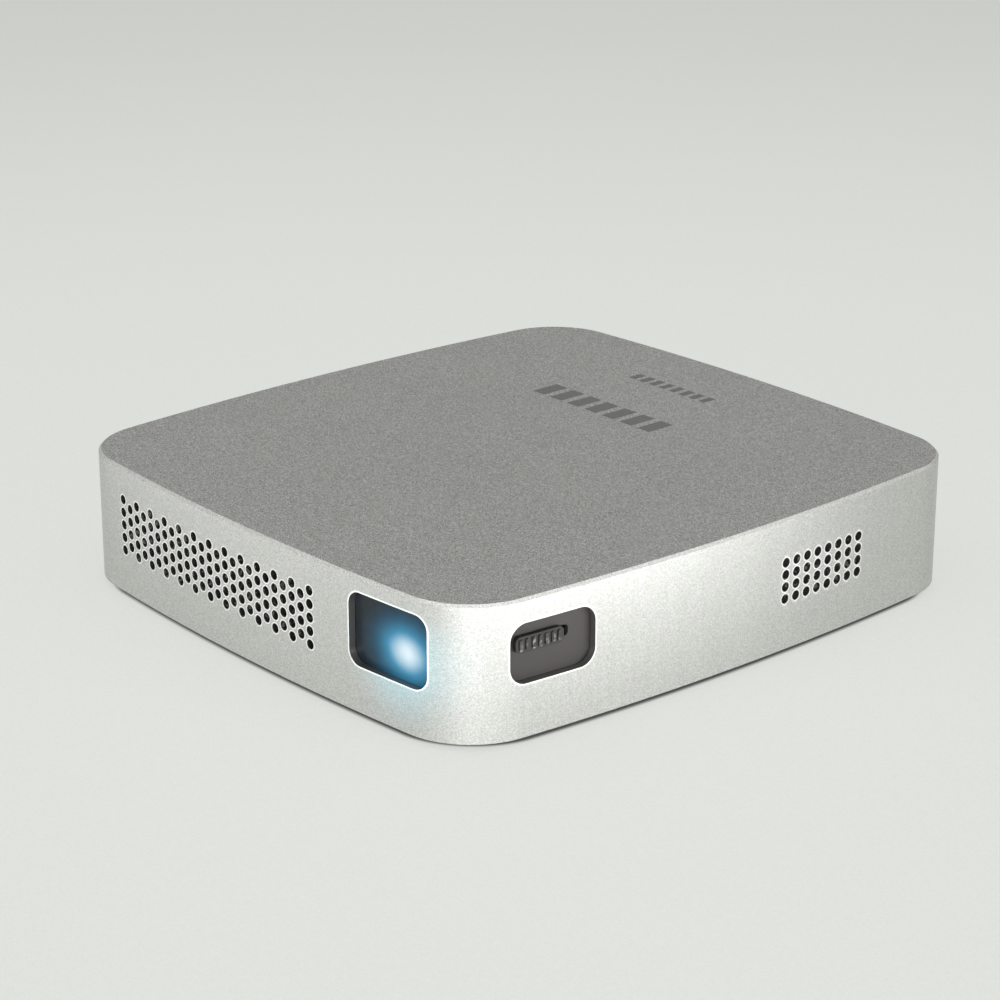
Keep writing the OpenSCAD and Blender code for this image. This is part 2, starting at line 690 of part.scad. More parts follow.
module fan_housing() color([0.08, 0.08, 0.09]) {
    difference() {
        fan_shape(fan_r, fan_open_y, fan_open_x, fan_z0, fan_z1);
        fan_shape(fan_r - fan_wall, fan_open_y - 1, fan_open_x - fan_wall, fan_z0 + 0.8, fan_z1 + 1);
        translate([fan_x, fan_y, fan_z0 - 1]) cylinder(r = 11, h = 4, $fn = 96);
    }
    for (at = fan_lug) difference() {
        union() {
            translate([at[0], at[1], fan_z0]) cylinder(r = lug_r, h = 1.6);
            translate([at[0], at[1], fan_z0]) rotate([0, 0, atan2(fan_y - at[1], fan_x - at[0])])
                box([0, -lug_r, 0], [at[1] < -20 ? 4.6 : 6.2, lug_r, 1.6]);
        }
        translate([at[0], at[1], fan_z0 - 1]) cylinder(r = hole_r, h = 4);
        translate([fan_x, fan_y, fan_z0 - 1]) cylinder(r = fan_r - fan_wall / 2, h = 4, $fn = 96);
        box([fan_x, fan_open_y - 1, fan_z0 - 1], [fan_open_x - fan_wall / 2, fan_y, fan_z0 + 3]);
    }
}

module fan_cover() color([0.1, 0.1, 0.11])
    difference() {
        union() {
            fan_shape(fan_r, fan_open_y, fan_open_x, fan_z1, fan_top);
            translate([fan_x, fan_y, 6.2]) cylinder(r = 2.2, h = 4.8);
        }
        translate([fan_x, fan_y, 5]) cylinder(r = 1.05, h = 5.6);
    }

module fan_stator() color([0.8, 0.5, 0.25])
    translate([fan_x, fan_y, 6.6]) difference() {
        union() {
            cylinder(r = 3.4, h = 3);
            for (a = [0 : 60 : 300]) rotate([0, 0, a]) {
                box([2.8, -0.9, 0.3], [5, 0.9, 2.7]);
                box([4.8, -1.8, 0], [5.5, 1.8, 3]);
            }
        }
        translate([0, 0, -1]) cylinder(r = 2.25, h = 6);
    }

module fan_rotor() color([0.12, 0.12, 0.13])
    translate([fan_x, fan_y, 0]) {
        difference() {
            translate([0, 0, 5]) cylinder(r = 7, h = 5, $fn = 96);
            translate([0, 0, 5.8]) cylinder(r = 6.2, h = 5, $fn = 96);
        }
        translate([0, 0, 5.4]) cylinder(r = 1, h = 5);
        for (i = [0 : 11])
            rotate([0, 0, 30 * i]) translate([6.7, 0, 5.2]) rotate([0, 0, -28]) cube([8, 0.6, 4.6]);
    }

module fan_screws() color([0.6, 0.6, 0.62])
    for (at = fan_lug) translate([at[0], at[1], fan_z0 + 1.6]) screw(screw_r, 2, 1.7, 0.8);

module fan_leads() color([0.7, 0.1, 0.1])
    for (x = [-30 : 0.9 : -28])
        lead([[x, fan_y + sqrt(pow(fan_r, 2) - pow(x - fan_x, 2)) + 0.32, 9], [x, 3, 9], [x, 7, 6.2],
            [x, 9, 5.71]], 0.32);

// ---- boards, battery, speaker --------------------------------------------

module main_board() color([0.06, 0.28, 0.15])
    difference() {
        translate([0, 0, board_z]) linear_extrude(board_top - board_z)
            polygon([[-44, 7], [-44, 37], [-33.5, 48.4], [33.5, 48.4], [43.5, 37], [43.5, 30.2], [14, 30.2],
                [14, 7]]);
        for (at = board_post) translate([at[0], at[1], board_z - 1]) cylinder(r = hole_r, h = 4);
    }

module shield_can() color([0.75, 0.76, 0.77])
    difference() {
        box([-8, 12, board_top], [6, 28, board_top + 2.2]);
        box([-7.8, 12.2, board_top - 1], [5.8, 27.8, board_top + 2]);
        for (i = [0 : 4], j = [0 : 3])
            translate([-6 + i * 2.5, 15.5 + j * 3, board_top]) cylinder(r = 0.5, h = 4, $fn = 24);
    }

module chip(x, y, w, d, h) {
    translate([x, y, board_top]) {
        box([-w / 2, -d / 2, 0.1], [w / 2, d / 2, h]);
        for (s = [-1, 1], i = [0 : floor(d / 1.6) - 1])
            box([s * w / 2 - 0.4, -d / 2 + 0.5 + i * 1.6, 0],
                [s * w / 2 + 0.4, -d / 2 + 1.1 + i * 1.6, 0.3]);
    }
}

module board_chips() color([0.09, 0.09, 0.1]) {
    chip(-21, 18, 13, 13, 1.5);
    chip(-34, 14, 6, 9, 1.2);
    chip(-34, 26, 8, 6, 1.4);
    chip(-20, 31, 5, 4, 1.1);
    chip(-2, 36.5, 7, 5, 1.2);
    chip(26.6, 33.2, 5, 5, 1.2);
}

module board_screws() color([0.7, 0.7, 0.72])
    for (at = board_post) translate([at[0], at[1], board_top]) screw(screw_r, 2, 1.7, 0.8);

module driver_board() color([0.06, 0.26, 0.14])
    difference() {
        union() {
            box([-42, -34, driver_z], [8.4, 2.4, driver_top]);
            for (at = driver_post)
                translate([at[0], at[1], at[2]]) cylinder(r = 1, h = driver_top - 0.2 - at[2]);
        }
        for (at = driver_post) translate([at[0], at[1], driver_top - 0.6]) cylinder(r = 0.6, h = 4);
    }

module driver_coils() color([0.24, 0.24, 0.25]) {
    for (x = [-36, -26, -16])
        translate([x, -26, driver_top]) plate(7, 7, 1, 0, 3.6);
    for (x = [-37, -30.5, -24, -17.5, -11])
        translate([x, -6, driver_top]) cylinder(r = 2.5, h = 4.4);
    for (x = [-4, 3])
        translate([x, -26, driver_top]) plate(5, 4, 0.4, 0, 1.4);
    translate([-4, -14, driver_top]) plate(8, 8, 0.4, 0, 1.1);
}

module battery_tray() color([0.15, 0.15, 0.16]) {
    difference() {
        box([-42, 8.2, tray_z], [38, 47, tray_top]);
        for (x = [-32, -12, 8, 28]) translate([x, 27, 0]) plate(14, 26, 2, tray_z - 1, tray_top + 1);
        for (sx = [-1, 1]) translate([sx * boss_at[0], boss_at[1], 0]) cylinder(r = 4.6, h = 30);
    }
    for (at = [[-41, 20], [-2, 30.6], [-10.6, 10.4], [-41, 37.4]])
        translate([at[0], at[1], board_top]) cylinder(r = 0.9, h = tray_z - board_top + 0.4);
}

module battery_cells() color([0.25, 0.35, 0.5])
    for (x = [-20.6, 17.2])
        translate([x, 27.5, 0]) plate(35.4, 36, 2.5, tray_top, tray_top + cell_t);

module battery_board() color([0.05, 0.25, 0.13])
    union() {
        box([-16, 8.4, tray_top], [8, 9.2, 18]);
        box([-2, 7.2, 13.5], [3, 8.4, 16.5]);
    }

module battery_leads() color([0.75, 0.12, 0.1]) {
    for (x = [-9, 4.5], s = [0, 1])
        lead([[x + s * 2, 8.05, 17], [x + s * 2, 8.05, 18.5], [x + s * 2, 8.8, 18.85],
            [x + s * 2, 10.6, 18.74]], 0.35);
    for (s = [0, 1])
        lead([[-15.4 + s, 8.05, 14.4], [-15.4 + s, 7.75, 13.2], [-15.4 + s, 7.75, 8],
            [-15.4 + s, 9, 5.74]], 0.35);
}

module speaker_frame() color([0.13, 0.13, 0.14])
    on_right(speaker_y) translate([0, 0, speaker_z]) {
        difference() {
            pane(22, 13, 3, -5, -1.9);
            pane(19.4, 10.4, 2.6, -4.4, -1);
            peg_x(3.4, -6, -3);
        }
        pane(10, 7, 1, -7.6, -5);
        for (s = [-1, 1]) box([-5, s * 9 - 1.5, cover_top - speaker_z], [-3.4, s * 9 + 1.5, -5]);
    }

module speaker_cone() color([0.2, 0.2, 0.21])
    on_right(speaker_y) translate([0, 0, speaker_z]) {
        difference() {
            pane(19, 10, 2.5, -3.2, -2.8);
            peg_x(2.9, -4, -1);
        }
        peg_x(3, -4.6, -2.6);
    }

module speaker_mesh() color([0.06, 0.06, 0.06])
    intersection() {
        difference() {
            slab(6.4, 17.4, 1.35, 0);
            slab(6, 18, 1.6, 0);
        }
        on_right(speaker_y) box([-6, -10.6, 6.5], [2, 10.6, 17.3]);
    }

module speaker_leads() color([0.1, 0.1, 0.1])
    for (s = [0, 1])
        lead([[43.2, 25.4 + s * 0.9, 12], [42.6, 28.4 + s * 0.9, 9], [42.4, 31.4 + s * 0.9, 5.69]], 0.3);

// ---- sockets -------------------------------------------------------------

// mouth of the video socket: a box with its two lower corners cut off, in local y and z
function cut_mouth(w, h, c) = [
    [-w / 2 + c, 0], [w / 2 - c, 0], [w / 2, c], [w / 2, h], [-w / 2, h], [-w / 2, c]];

module hdmi_socket() color([0.72, 0.72, 0.7])
    on_back(hdmi_x) {
        difference() {
            translate([-12, 0, board_top]) rotate([90, 0, 90]) linear_extrude(11.65)
                polygon(cut_mouth(15.1, 5.5, 1.6));
            translate([-11, 0, board_top + 0.45]) rotate([90, 0, 90]) linear_extrude(12)
                polygon(cut_mouth(14.2, 4.6, 1.4));
        }
        box([-11.5, -5, board_top + 2.4], [-2.4, 5, board_top + 3.4]);
    }

module usb_socket() color([0.74, 0.74, 0.72])
    on_back(usb_x) {
        difference() {
            translate([0, 0, board_top + 2.8]) pane(13.2, 5.6, 0.4, -13, -0.35);
            translate([0, 0, board_top + 2.8]) pane(12.5, 5, 0.3, -12.4, 1);
        }
        box([-12.6, -5.5, board_top + 2.9], [-1.6, 5.5, board_top + 4.5]);
    }

module card_slot() color([0.74, 0.74, 0.72])
    on_back(card_x) difference() {
        box([-15.5, -6.8, board_top], [-1.4, 6.8, board_top + 1.9]);
        box([-15, -5.6, board_top + 0.5], [0, 5.6, board_top + 1.5]);
    }

module audio_jack() color([0.07, 0.07, 0.07])
    on_back(audio_x) difference() {
        union() {
            box([-13, -3.4, board_top], [-1.5, 3.4, board_top + 6]);
            translate([0, 0, audio_z]) peg_x(2.8, -2, -0.35);
        }
        translate([0, 0, audio_z]) peg_x(audio_r, -12, 1);
    }

module dc_jack() color([0.06, 0.06, 0.06])
    on_back(dc_x) {
        difference() {
            union() {
                box([-11, -3.6, board_top], [-1.5, 3.6, board_top + 6]);
                translate([0, 0, dc_z]) peg_x(2.9, -2, -0.35);
            }
            translate([0, 0, dc_z]) peg_x(2.05, -9.6, 1);
        }
        translate([0, 0, dc_z]) peg_x(0.6, -10, -1.6);
    }

module ir_window() color([0.12, 0.02, 0.04])
    on_back(ir_x) translate([0, 0, ir_z]) {
        peg_x(1.9, -1.3, -0.1);
        peg_x(2.6, -2.2, -1.35);
        peg_x(1.6, -2.4, -0.3);
    }

// ---- power key -----------------------------------------------------------

module power_button() color([0.7, 0.71, 0.7])
    on_left(key_y) translate([0, 0, key_z]) {
        pane(key_w, key_h, 1.95, -1.8, 0.12);
        pane(key_w + 2.4, key_h + 2.2, 1, -2, -1.5);
        peg_x(0.9, -2.6, -1.7);
    }

module key_switch() color([0.3, 0.3, 0.31])
    on_left(key_y) translate([0, 0, key_z]) {
        pane(3.4, 3.4, 0.4, -4.9, -3.5);
        peg_x(0.8, -3.6, -3.1);
        box([-5.6, -4, -8.2], [-4.9, 4, 3.4]);
    }

module wifi_antenna() color([0.75, 0.5, 0.2]) {
    on_left(-29) box([-1.75, -7, 4.4], [-1.55, 7, 11]);
    lead([[-46.55, -24.4, 5], [-44.9, -22, 4.6], [-44.9, 2, 4.6], [-44.6, 5, 5.9], [-43, 9, 5.8],
        [-41.5, 13, 5.74]], 0.35);
}

top_shell();
bottom_cover();
base_screws();
rubber_feet();
tripod_insert();
rating_label();
lens_window();
lens_hood();
lens_mount();
focus_barrel();
front_lens();
rear_lens();
focus_panel();
focus_slider();
focus_lever();
lever_pivot();
engine_housing();
engine_lid();
engine_screws();
prism_pair();
dichroic_mirror();
relay_lens();
collimators();
led_boards();
led_emitters();
mirror_chip();
chip_board();
chip_flex();
heat_spreaders();
heat_pipe();
heat_sink();
fan_housing();
fan_cover();
fan_stator();
fan_rotor();
fan_screws();
fan_leads();
main_board();
shield_can();
board_chips();
board_screws();
driver_board();
driver_coils();
battery_tray();
battery_cells();
battery_board();
battery_leads();
speaker_frame();
speaker_cone();
speaker_mesh();
speaker_leads();
hdmi_socket();
usb_socket();
card_slot();
audio_jack();
dc_jack();
ir_window();
power_button();
key_switch();
wifi_antenna();
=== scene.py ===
"""Looks, floor, camera and light of the projector, round its CAD frame."""
import math
import json

import bpy
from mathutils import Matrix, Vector

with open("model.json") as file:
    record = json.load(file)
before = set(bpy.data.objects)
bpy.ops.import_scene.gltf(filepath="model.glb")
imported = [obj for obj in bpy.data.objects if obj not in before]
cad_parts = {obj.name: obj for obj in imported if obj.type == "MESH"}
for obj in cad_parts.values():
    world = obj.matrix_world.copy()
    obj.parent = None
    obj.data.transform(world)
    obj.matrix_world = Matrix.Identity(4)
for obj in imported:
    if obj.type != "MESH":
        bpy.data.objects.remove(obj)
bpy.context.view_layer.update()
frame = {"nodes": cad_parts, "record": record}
nodes = frame["nodes"]
scene = bpy.context.scene
MM = 0.001

# ---- the shell's own geometry, in the row frame ----------------------------

# seen from above: four bowed sides, which meet in round corners
HALF_W, HALF_D = 49.3 * MM, 52.8 * MM
SIDE_R = 441 * MM
SIDE_C, END_C = SIDE_R - HALF_W, SIDE_R - HALF_D
CORNER = (35.4934 * MM, 39.3292 * MM)
CORNER_R = 12 * MM
TOP_Z = 21.5 * MM

# openings, mm: place along the wall, height above the floor, width, height, corner radius
LENS_WINDOW = (31.9, 13.5, 15.36, 11.1, 2.2)
FOCUS_WINDOW = (-35, 13.4, 14.55, 9.0, 2.6)
KEY_HOLE = (-12, 11, 9.5, 4.5, 2.2)

# vent holes, mm: first hole's place and height, pitch along and up, columns, rows
GRILLE_FULL = (-32.3, 8.0, 4.0, 2.06, 13, 5)
GRILLE_BETWEEN = (-30.3, 9.03, 4.0, 2.06, 12, 4)
SIDE_GRID = (9.15, 8.93, 2.29, 1.9, 8, 4)

# printed bars, mm: first bar's x, pitch, count, bar width, y of their two ends
BIG_BARS = (-18.3, 4.15, 7, 2.7, 20.4, 25.7)
SMALL_BARS = (-14.0, 2.35, 8, 1.35, 37.2, 39.9)


def on_front(x, depth, z):
    """A point behind the front wall's outer face."""
    a = math.asin(x / SIDE_R)
    r = SIDE_R - depth
    return Vector((r * math.sin(a), END_C - r * math.cos(a), z))


# the bright spot that the lens throws on the window
GLOW = on_front(34.8 * MM, 1.26 * MM, 12.1 * MM)


# ---- node helpers ----------------------------------------------------------

class Maker:
    """A material's node tree, with short calls for the nodes used here."""

    def __init__(self, name):
        self.mat = bpy.data.materials.new(name)
        self.mat.use_nodes = True
        self.tree = self.mat.node_tree
        self.tree.nodes.clear()
        self.out = self.add("ShaderNodeOutputMaterial")
        self.bsdf = self.add("ShaderNodeBsdfPrincipled")
        self.link(self.bsdf.outputs[0], self.out.inputs["Surface"])
        self.coord = self.add("ShaderNodeTexCoord").outputs["Object"]

    def add(self, kind, **props):
        n = self.tree.nodes.new(kind)
        for k, v in props.items():
            setattr(n, k, v)
        return n

    def link(self, a, b):
        self.tree.links.new(a, b)

    def put(self, value, socket):
        """A link if value is a socket, else a constant."""
        if hasattr(value, "is_output"):
            self.link(value, socket)
        else:
            socket.default_value = value

    def paint(self, color, socket):
        """A link if color is a socket, else a constant opaque colour."""
        self.put(color if hasattr(color, "is_output") else (*color[:3], 1), socket)

    def noise(self, scale, detail=3.0, rough=0.55, coord=None):
        n = self.add("ShaderNodeTexNoise")
        self.link(coord or self.coord, n.inputs["Vector"])
        n.inputs["Scale"].default_value = scale
        n.inputs["Detail"].default_value = detail
        n.inputs["Roughness"].default_value = rough
        return n.outputs["Fac"]

    def voronoi(self, scale, random=1.0):
        n = self.add("ShaderNodeTexVoronoi", feature="F1")
        self.link(self.coord, n.inputs["Vector"])
        n.inputs["Scale"].default_value = scale
        n.inputs["Randomness"].default_value = random
        return n.outputs

    def cells(self, scale, random):
        """Distance from the middle of the nearest cell."""
        return self.voronoi(scale, random)["Distance"]

    def grains(self, scale):
        """A random number for each small cell."""
        return self.split(self.voronoi(scale)["Color"])[0]

    def math(self, op, a, b=0.0, c=0.0, clamp=False):
        n = self.add("ShaderNodeMath", operation=op, use_clamp=clamp)
        for i, v in enumerate((a, b, c)):
            self.put(v, n.inputs[i])
        return n.outputs[0]

    def plus(self, a, b):
        return self.math("ADD", a, b)

    def minus(self, a, b):
        return self.math("SUBTRACT", a, b)

    def times(self, a, b):
        return self.math("MULTIPLY", a, b)

    def most(self, a, b):
        return self.math("MAXIMUM", a, b)

    def hypot(self, a, b):
        return self.math("SQRT", self.plus(self.times(a, a), self.times(b, b)))

    def ramp(self, value, lo, hi, out_lo=0.0, out_hi=1.0, smooth=True):
        n = self.add("ShaderNodeMapRange", clamp=True)
        n.interpolation_type = "SMOOTHSTEP" if smooth else "LINEAR"
        self.put(value, n.inputs["Value"])
        n.inputs["From Min"].default_value = lo
        n.inputs["From Max"].default_value = hi
        n.inputs["To Min"].default_value = out_lo
        n.inputs["To Max"].default_value = out_hi
        return n.outputs["Result"]

    def fade(self, value, lo, hi):
        """1 up to lo, 0 from hi on."""
        return self.ramp(value, lo, hi, 1.0, 0.0)

    def mix(self, fac, a, b):
        n = self.add("ShaderNodeMix", data_type="RGBA")
        self.put(fac, n.inputs[0])
        self.paint(a, n.inputs[6])
        self.paint(b, n.inputs[7])
        return n.outputs[2]

    def bump(self, height, strength, distance):
        n = self.add("ShaderNodeBump")
        n.inputs["Strength"].default_value = strength
        n.inputs["Distance"].default_value = distance
        self.put(height, n.inputs["Height"])
        return n.outputs["Normal"]

    def vec(self, op, a, b=None):
        """A vector operation; its number for DOT_PRODUCT, LENGTH and DISTANCE, else its vector."""
        n = self.add("ShaderNodeVectorMath", operation=op)
        self.put(a, n.inputs[0])
        if b is not None:
            self.put(b, n.inputs[1])
        return n.outputs["Value" if op in ("DOT_PRODUCT", "LENGTH", "DISTANCE") else "Vector"]

    def box_distance(self, u, v, w, h, r):
        """Distance from a round-cornered rectangle's outline, in the plane of u and v."""
        return self.rounded(self.minus(self.math("ABSOLUTE", u), w / 2 - r),
                            self.minus(self.math("ABSOLUTE", v), h / 2 - r), r)

    def rounded(self, a, b, r):
        """Distance from an outline of two pairs of sides and a corner radius."""
        out = self.hypot(self.most(a, 0.0), self.most(b, 0.0))
        within = self.math("MINIMUM", self.most(a, b), 0.0)
        return self.minus(self.plus(out, within), r)

    def split(self, vector):
        n = self.add("ShaderNodeSeparateXYZ")
        self.link(vector, n.inputs[0])
        return n.outputs

    def normal(self):
        return self.add("ShaderNodeNewGeometry").outputs["Normal"]

    def stretch(self, scale):
        n = self.add("ShaderNodeMapping")
        self.link(self.coord, n.inputs["Vector"])
        n.inputs["Scale"].default_value = scale
        return n.outputs[0]

    def shade(self, color, metallic, rough, normal, **extra):
        """Fills the shader; extra gives its other sockets, with _ for a space."""
        s = self.bsdf.inputs
        self.paint(color, s["Base Color"])
        self.put(metallic, s["Metallic"])
        self.put(rough, s["Roughness"])
        self.link(normal, s["Normal"])
        for k, v in extra.items():
            self.put(v, s[k.replace("_", " ")])
        return self.mat


def lin(r, g, b):
    """Linear colour of an sRGB triple from 0 to 255."""
    def one(c):
        c /= 255
        return c / 12.92 if c <= 0.04045 else ((c + 0.055) / 1.055) ** 2.4
    return one(r), one(g), one(b)


def scaled(c, k):
    return tuple(min(1.0, x * k) for x in c[:3])


# ---- the shell's masks -----------------------------------------------------

# widths of the rims with a painted highlight: round an opening (mm), and round a hole from its axis
RIM_BAND = 0.29
VENT_RIM = (0.86 * MM, 1.02 * MM)
# how much wider than its holes' centres a block of holes is, with their rims (mm)
VENT_REACH = 2.1


def outward(m):
    """1 where a face looks straight out of the shell's wall, -1 where it looks in; and its normal."""
    sign = m.vec("SIGN", m.coord)
    past = m.vec("SUBTRACT", m.vec("ABSOLUTE", m.coord), (*CORNER, 1.0))
    past = m.vec("MAXIMUM", past, (0.0, 0.0, 0.0))
    out = m.vec("NORMALIZE", m.vec("MULTIPLY", past, sign))
    face = m.normal()
    return m.vec("DOT_PRODUCT", out, face), face


def rim(m, p):
    """Rims round the two windows and the power key, which get a painted highlight: 1 on them and
    inside them.
    """
    x, y, z = p

    # side is how far a point is past a plane that only this wall is beyond
    def ring(along, side, opening):
        u, v, w, h, r = (n * MM for n in opening)
        d = m.box_distance(m.minus(along, u), m.minus(z, v), w, h, r)
        on = m.fade(d, RIM_BAND * 0.6 * MM, RIM_BAND * MM)
        return m.times(on, m.ramp(side, 0.0, 1 * MM))

    lens = ring(x, m.minus(-40 * MM, y), LENS_WINDOW)
    focus = ring(y, m.minus(x, 38 * MM), FOCUS_WINDOW)
    key = ring(y, m.minus(-44 * MM, x), KEY_HOLE)
    return m.most(lens, m.most(focus, key))


def vent_highlight_rings(m, p):
    """Rims round the vent holes of the front and of the two sides, which get a painted highlight."""
    x, y, z = p

    def lattice(along, side, holes):
        u0, v0, du, dv, columns, rows = holes
        a = m.math("PINGPONG", m.minus(along, u0 * MM), du / 2 * MM)
        b = m.math("PINGPONG", m.minus(z, v0 * MM), dv / 2 * MM)
        w, h = (columns - 1) * du, (rows - 1) * dv
        block = m.box_distance(m.minus(along, (u0 + w / 2) * MM), m.minus(z, (v0 + h / 2) * MM),
                               (w + VENT_REACH) * MM, (h + VENT_REACH) * MM, 0.5 * MM)
        on = m.times(m.fade(block, 0.0, 0.05 * MM), m.ramp(side, 0.0, 1 * MM))
        return m.times(m.fade(m.hypot(a, b), *VENT_RIM), on)

    front = m.minus(-45 * MM, y)
    sides = m.minus(m.math("ABSOLUTE", x), 42 * MM)
    full = lattice(x, front, GRILLE_FULL)
    between = lattice(x, front, GRILLE_BETWEEN)
    grid = lattice(y, sides, SIDE_GRID)
    return m.most(m.most(full, between), grid)


def printed(m, p):
    """A plain printed mark on the top: two rows of upright bars."""
    x, y = p[0], p[1]
    soft, end = 0.06, 0.05

    def row(first, pitch, count, wide, y0, y1):
        half, last = wide / 2, (count - 1) * pitch
        u = m.minus(x, first * MM)
        w = m.math("PINGPONG", m.plus(u, pitch * MM * 100), pitch / 2 * MM)
        bars = m.fade(w, half * MM, (half + soft) * MM)
        inside = m.times(m.ramp(u, -half * MM, (end - half) * MM),
                         m.fade(u, (last + half) * MM, (last + half + end) * MM))
        high = m.times(m.ramp(y, y0 * MM, (y0 + soft) * MM), m.fade(y, (y1 - soft) * MM, y1 * MM))
        return m.times(bars, m.times(inside, high))

    return m.times(m.most(row(*BIG_BARS), row(*SMALL_BARS)), PRINT_COVER)


def footprint(m, p):
    """Distance from the shell's outline seen from above, less than 0 inside."""
    x, y = m.math("ABSOLUTE", p[0]), m.math("ABSOLUTE", p[1])

    def side(along, across, centre):
        return m.minus(m.hypot(along, m.plus(across, centre)), SIDE_R - CORNER_R)

    return m.rounded(side(y, x, SIDE_C), side(x, y, END_C), CORNER_R)


# ---- materials -------------------------------------------------------------

SHELL = (0.565, 0.565, 0.552)
GRAIN = 0.43
WALL_GRAIN = 0.40 * GRAIN
# a painted highlight's colour, for the cut rims
HIGHLIGHT_COLOR = (0.90, 0.90, 0.88)
# painted shade inside the openings: grey on the window walls, dark in the vent holes; and painted
# glints in the holes
REVEAL_SHADE = (0.28, 0.28, 0.28)
BORE_SHADE = (0.13, 0.13, 0.12)
GLINT = (0.95, 0.95, 0.93)
PRINT = (0.17, 0.17, 0.17)
PRINT_COVER = 0.85
# how strong the painted highlight is on the top's slope and round the vents
SLOPE_HIGHLIGHT, VENT_HIGHLIGHT = 0.40, 0.7
SPILL = (0.08, 0.75, 1.0, 1.0)
SPILL_POWER = 0.28


def sanded(m, color, rough):
    """Colour, roughness and normal of bead-blasted metal: sandy pits and faint mottling."""
    pits = m.noise(2900, 2.0, 0.7)
    sand = m.grains(9000)
    cloud = m.noise(45, 4.0, 0.5)
    height = m.split(m.coord)[2]
    amount = m.ramp(height, TOP_Z - 0.6 * MM, TOP_Z - 0.3 * MM, WALL_GRAIN, GRAIN)
    speck = m.times(m.math("MULTIPLY_ADD", sand, 2.0, -1.0), amount)
    tone = m.plus(m.ramp(pits, 0.3, 0.7, -0.05, 0.05, False), speck)
    tone = m.plus(tone, m.ramp(cloud, 0.3, 0.7, 0.49, 0.51))
    col = m.mix(tone, scaled(color, 0.4), scaled(color, 1.6))
    r = m.math("MULTIPLY_ADD", pits, 0.12, rough - 0.06)
    return col, r, m.bump(pits, 0.18, 0.00006)


def blasted(name, color, rough):
    """Plain bead-blasted aluminium."""
    m = Maker(name)
    col, r, nrm = sanded(m, color, rough)
    return m.shade(col, 1.0, r, nrm)


def shell_metal(name):
    """Bead-blasted aluminium with painted highlights round its cut rims and a printed mark, and
    painted shade with painted glints inside its openings.
    """
    m = Maker(name)
    col, r, nrm = sanded(m, SHELL, 0.50)
    p = m.split(m.coord)
    facing, face = outward(m)
    n = m.split(face)

    # the outer skin: the walls' outsides, the top, and the lip round the bottom
    roof = m.ramp(p[2], TOP_Z - 0.45 * MM, TOP_Z - 0.4 * MM)
    lip = m.fade(p[2], 4.5 * MM, 5 * MM)
    skin = m.most(m.most(m.ramp(facing, 0.5, 0.7), roof), lip)

    # painted highlights along the cut rims: the top's sloping one, and those of the openings and the
    # vents
    slope = m.times(m.ramp(n[2], 0.30, 0.42), m.fade(n[2], 0.86, 0.96))
    slope = m.times(slope, m.ramp(p[2], TOP_Z - 0.6 * MM, TOP_Z - 0.5 * MM))
    cuts = m.times(rim(m, p), m.minus(1.0, roof))
    edge_highlight = m.most(m.times(slope, SLOPE_HIGHLIGHT), m.times(cuts, skin))
    edge_highlight = m.most(edge_highlight, m.times(m.times(vent_highlight_rings(m, p), skin), VENT_HIGHLIGHT))
    # the rims get a pale painted highlight colour
    col = m.mix(edge_highlight, col, HIGHLIGHT_COLOR)

    # inside the openings and holes: painted shade, grey on the window walls and dark in the vent
    # holes, with painted glints dotted in the holes
    glint = m.times(m.ramp(m.noise(1100, 1.0), 0.56, 0.66), 0.6)
    inside = m.mix(cuts, m.mix(glint, BORE_SHADE, GLINT), REVEAL_SHADE)
    col = m.mix(skin, inside, col)
    mark = m.times(printed(m, p), roof)
    col = m.mix(mark, col, PRINT)
    bare = m.math("MULTIPLY_ADD", mark, -0.6, 1.0)
    bare = m.math("SUBTRACT", bare, m.times(edge_highlight, 0.9), clamp=True)

    # the lens lights the walls round its window
    near = m.fade(m.vec("DISTANCE", m.coord, tuple(GLOW)), 2 * MM, 14 * MM)
    spill = m.times(m.math("POWER", near, 1.5), SPILL_POWER)
    walls = m.times(skin, m.fade(p[2], 16 * MM, TOP_Z - 0.5 * MM))
    return m.shade(col, bare, r, nrm, Emission_Color=SPILL, Emission_Strength=m.times(spill, walls))


def mottled(m, cloud, color, vary):
    """A colour with slight, soft changes of tone."""
    return m.mix(m.ramp(cloud, 0.3, 0.7), scaled(color, 1 - vary), scaled(color, 1 + vary))


def plastic(name, color, rough=0.5, grain=2600, depth=0.00002, strength=0.25, vary=0.12, **extra):
    """Moulded plastic or rubber: spark-eroded grain and slight changes of tone."""
    m = Maker(name)
    g = m.noise(grain, 2.0, 0.6)
    col = mottled(m, m.noise(60, 3.0), color, vary)
    r = m.math("MULTIPLY_ADD", g, 0.16, rough - 0.08)
    return m.shade(col, 0.0, r, m.bump(g, strength, depth), **extra)


def metal(name, color, rough, along=(1, 1, 1), grain=900, strength=0.12):
    """Plain metal with drawn or machined marks along the short axis of its stretch."""
    m = Maker(name)
    marks = m.noise(grain, 3.0, 0.6, m.stretch(along))
    col = mottled(m, m.noise(90, 3.0), color, 0.08)
    r = m.math("MULTIPLY_ADD", marks, 0.22, rough - 0.11)
    return m.shade(col, 1.0, r, m.bump(marks, strength, 0.00002))


def board(name, color):
    """Solder mask over tracks, with small pads."""
    m = Maker(name)
    lines = m.ramp(m.cells(420, 0.35), 0.30, 0.36)
    pads = m.fade(m.cells(700, 0.9), 0.10, 0.13)
    col = m.mix(lines, scaled(color, 1.5), color)
    col = m.mix(pads, col, (0.55, 0.52, 0.42))
    r = m.math("MULTIPLY_ADD", m.noise(800), 0.2, 0.28)
    return m.shade(col, m.times(pads, 0.8), r, m.bump(lines, 0.2, 0.00002))


def glass(name, color, rough, ior):
    """Clear glass with a faint smear."""
    m = Maker(name)
    smear = m.noise(120, 3.0)
    col = m.mix(m.ramp(smear, 0.3, 0.7), scaled(color, 0.96), scaled(color, 1.0))
    r = m.math("MULTIPLY_ADD", smear, 0.02, rough)
    return m.shade(col, 0.0, r, m.bump(smear, 0.02, 0.00001), Transmission_Weight=1.0, IOR=ior)


